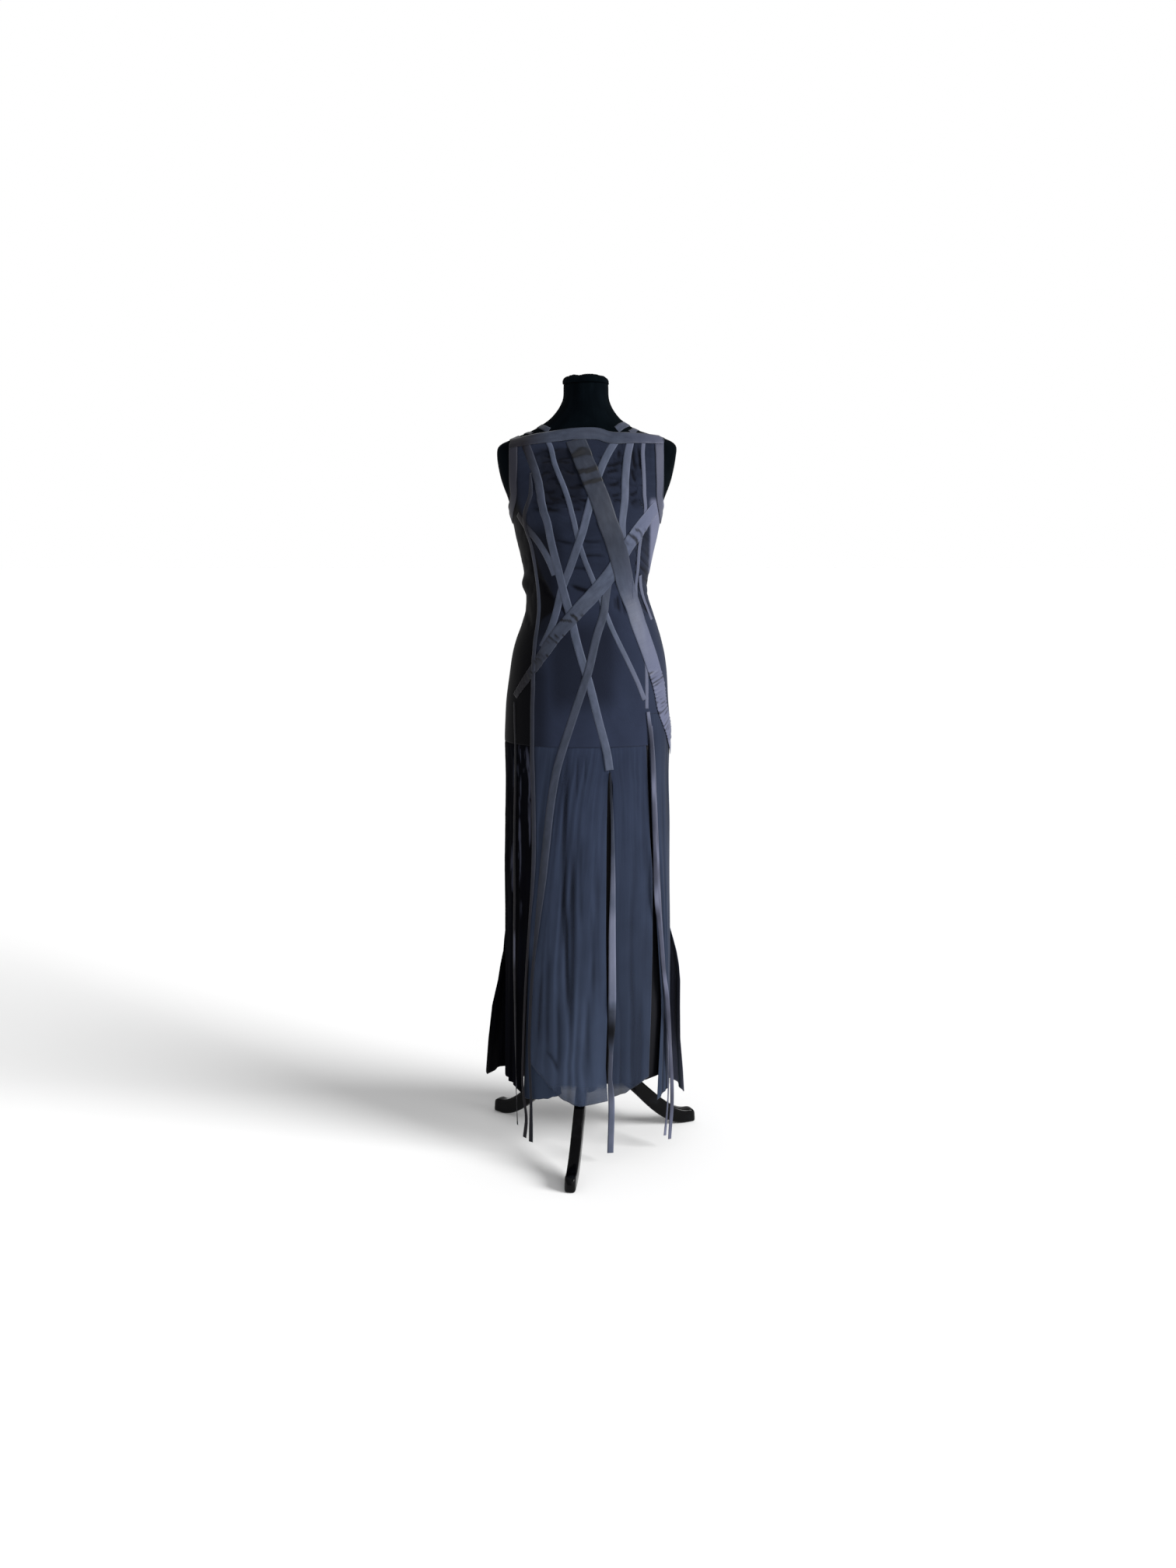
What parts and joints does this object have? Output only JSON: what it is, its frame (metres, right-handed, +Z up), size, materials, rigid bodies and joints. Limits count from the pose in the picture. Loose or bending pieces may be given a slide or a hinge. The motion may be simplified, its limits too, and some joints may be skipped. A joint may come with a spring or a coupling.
{
  "type": "evening gown on a dress form",
  "caption": "Long sleeveless evening gown with crossed ribbons and a slit, gathered skirt, on a limbless dress form with a three-legged stand.",
  "frame": {"origin": "on the floor, in the middle of the box round the whole part; the form's axis stands 14 mm toward -X and 25 mm toward +Y of it", "axes": "+Z up, -Y the gown's front, +X the wearer's left, which is the right side of the picture"},
  "size_m": [0.4583, 0.4654, 1.5832],
  "materials": {
    "bodice_chiffon": "matt dark blue-grey chiffon over lining, softly ruched",
    "skirt_chiffon": "matt blue-grey chiffon, finely gathered, sheer at the hem",
    "side_chiffon": "near-black blue chiffon in fine gathers",
    "underskirt_lining": "plain black lining",
    "ribbon_grosgrain": "fine cross-ribbed ribbon with a soft sheen",
    "ribbon_satin": "flat satin-faced ribbon with a soft sheen",
    "form_jersey": "tight black jersey cover",
    "stand_lacquer": "gloss black lacquer on curved wooden legs"
  },
  "bodies": {
    "root": {"bodice_front": "bodice_chiffon", "bodice_back_left": "bodice_chiffon", "bodice_back_right": "bodice_chiffon", "skirt_front_centre": "skirt_chiffon", "skirt_front_left": "skirt_chiffon", "skirt_front_right": "skirt_chiffon", "skirt_side_right": "skirt_chiffon", "skirt_side_left": "side_chiffon", "skirt_back_left": "side_chiffon", "skirt_back_right": "side_chiffon", "underskirt": "underskirt_lining", "form_torso": "form_jersey", "form_neck_cap": "form_jersey", "stand_pole": "stand_lacquer", "stand_hub": "stand_lacquer", "leg_front": "stand_lacquer", "leg_right": "stand_lacquer", "leg_left": "stand_lacquer", "ribbon_right_thin": "ribbon_grosgrain", "ribbon_left_thin": "ribbon_grosgrain", "ribbon_right_upright": "ribbon_grosgrain", "ribbon_right_short": "ribbon_grosgrain", "ribbon_middle_thin": "ribbon_grosgrain", "ribbon_left_slant": "ribbon_grosgrain", "ribbon_falling_left": "ribbon_grosgrain", "ribbon_falling_middle": "ribbon_grosgrain", "ribbon_long_left": "ribbon_grosgrain", "ribbon_slit_middle": "ribbon_grosgrain", "ribbon_slit_right": "ribbon_grosgrain", "ribbon_slit_right_under": "ribbon_grosgrain", "ribbon_left_hanging": "ribbon_grosgrain", "shoulder_ribbon_left_inner": "ribbon_grosgrain", "shoulder_ribbon_left_outer": "ribbon_grosgrain", "shoulder_ribbon_right_inner": "ribbon_grosgrain", "shoulder_ribbon_right_outer": "ribbon_grosgrain", "ribbon_wide_rise": "ribbon_satin", "ribbon_wide_fall": "ribbon_satin", "neckband_front": "ribbon_satin", "neckband_back": "ribbon_satin", "armhole_band_left": "ribbon_satin", "armhole_band_right": "ribbon_satin"}
  },
  "joints": []
}
